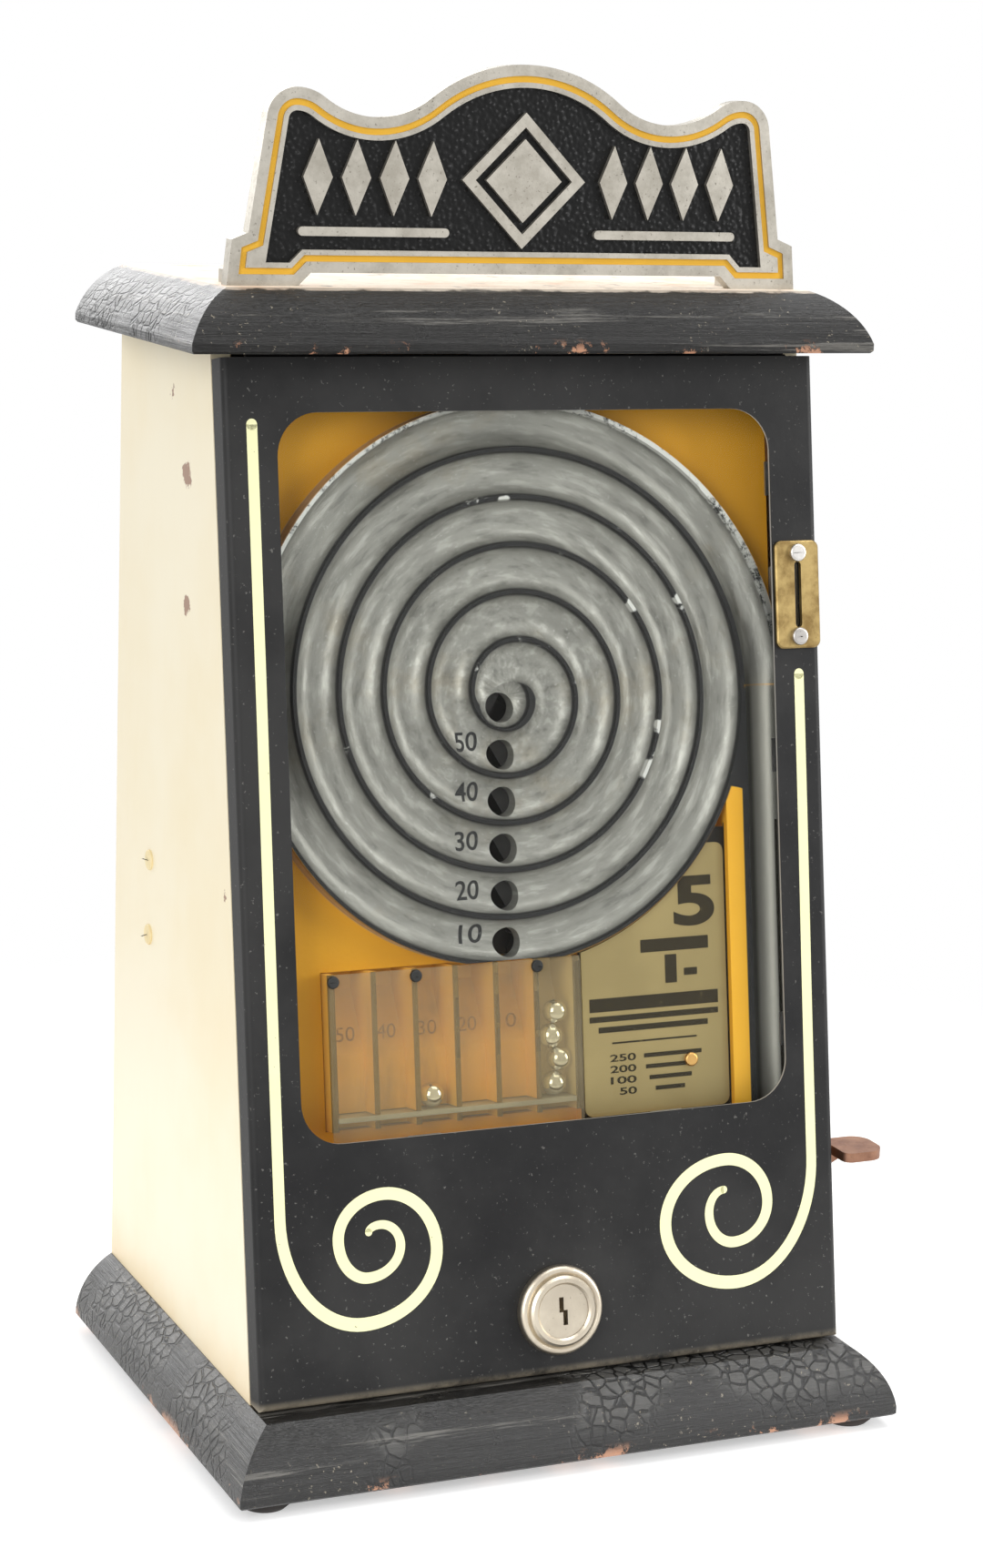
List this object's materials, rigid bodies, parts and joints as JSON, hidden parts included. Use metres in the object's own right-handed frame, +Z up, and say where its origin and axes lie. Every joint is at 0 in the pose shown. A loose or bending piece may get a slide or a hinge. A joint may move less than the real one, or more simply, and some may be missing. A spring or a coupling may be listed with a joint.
{
  "type": "trade stimulator",
  "caption": "Counter-top penny ball game with a sloping black door, a cast spiral ball track behind glass, score columns, a finger lever and a cast sign on top.",
  "frame": {"origin": "on the table under the middle of the overall outline", "axes": "+Z up, +X to the player's right, +Y from the player to the back"},
  "size_m": [0.2367, 0.177, 0.4349],
  "materials": {
    "black_wood": "crackled black paint",
    "cream_wood": "aged cream paint",
    "bare_wood": "bare pine",
    "foot_rubber": "matte",
    "sign_metal": "cast, painted in the hollows",
    "field_metal": "cast, painted yellow and black",
    "column_paint": "worn orange-yellow paint",
    "cover_plastic": "cloudy clear sheet",
    "card_brass": "tarnished",
    "rivet_brass": "worn",
    "ball_steel": "polished steel",
    "door_paint": "matte black",
    "window_glass": "clear",
    "clip_steel": "zinc",
    "hinge_steel": "dull",
    "coin_metal": "worn nickel",
    "screw_steel": "worn",
    "painted_screw": "painted over",
    "lock_nickel": "worn nickel",
    "lever_copper": "worn copper plate",
    "works_steel": "plain",
    "gate_sheet": "plain",
    "weight_brass": "plain",
    "felt": "felt",
    "tin": "tin plate"
  },
  "bodies": {
    "cabinet": {"base_plank": "black_wood", "glide_feet": "foot_rubber", "left_side_board": "cream_wood", "right_side_board": "cream_wood", "back_board": "cream_wood", "corner_blocks": "bare_wood", "top_plank": "cream_wood", "marquee_casting": "sign_metal", "marquee_screws": "screw_steel", "playfield_casting": "field_metal", "playfield_screws": "screw_steel", "left_cleat": "bare_wood", "right_cleats": "bare_wood", "ball_runway": "bare_wood", "column_tray": "column_paint", "column_cover": "cover_plastic", "cover_screws": "screw_steel", "instruction_card": "card_brass", "card_rivet": "rivet_brass", "steel_balls": "ball_steel", "hinge_leaf_top": "hinge_steel", "hinge_pin": "hinge_steel", "lock_keeper": "works_steel", "lever_bracket": "works_steel", "bracket_screws": "screw_steel", "lever_pin": "works_steel", "lever_stop": "felt", "spring_seat": "works_steel", "lever_spring": "works_steel", "coin_chute": "tin", "trip_hangers": "works_steel", "cash_box": "tin", "side_screws": "painted_screw", "back_screws": "screw_steel"},
    "door": {"door_panel": "door_paint", "window_glass": "window_glass", "glass_clips": "clip_steel", "hinge_leaf_door": "hinge_steel", "coin_plate": "coin_metal", "coin_plate_screws": "screw_steel", "lock_bezel": "lock_nickel", "lock_nut": "works_steel"},
    "lock": {"lock_plug": "lock_nickel", "lock_cam": "works_steel"},
    "lever": {"kick_lever": "lever_copper"},
    "gate": {"ball_gate": "gate_sheet"},
    "trip": {"trip_shaft": "works_steel", "gate_arm": "works_steel", "coin_pan": "works_steel", "trip_weight": "weight_brass"}
  },
  "joints": [
    {"name": "door_hinge", "type": "hinge", "parent": "cabinet", "child": "door", "pos_m": [0, -0.01345, 0.3439], "axis": [-1, 0, 0], "range_deg": [0, 70]},
    {"name": "lock_turn", "type": "hinge", "parent": "door", "child": "lock", "pos_m": [0, -0.06683, 0.04719], "axis": [0, -0.986, 0.1668], "range_deg": [0, 90]},
    {"name": "lever_pivot", "type": "hinge", "parent": "cabinet", "child": "lever", "pos_m": [0.028, -0.04931, 0.0786], "axis": [0, 1, 0], "range_deg": [0, 16], "stiffness_Nm_per_rad": 0.4, "springref_deg": -20.05, "deforming": ["lever_spring"]},
    {"name": "trip_pivot", "type": "hinge", "parent": "cabinet", "child": "trip", "pos_m": [0, -0.02664, 0.08695], "axis": [-1, 0, 0], "range_deg": [0, 24]},
    {"name": "gate_slide", "type": "slide", "parent": "cabinet", "child": "gate", "axis": [0, 0.986, -0.1668], "range_m": [0, 0.0085]}
  ],
  "couplings": [
    {"joint": "gate_slide", "follows": "trip_pivot", "m_per_rad": 0.0195}
  ]
}
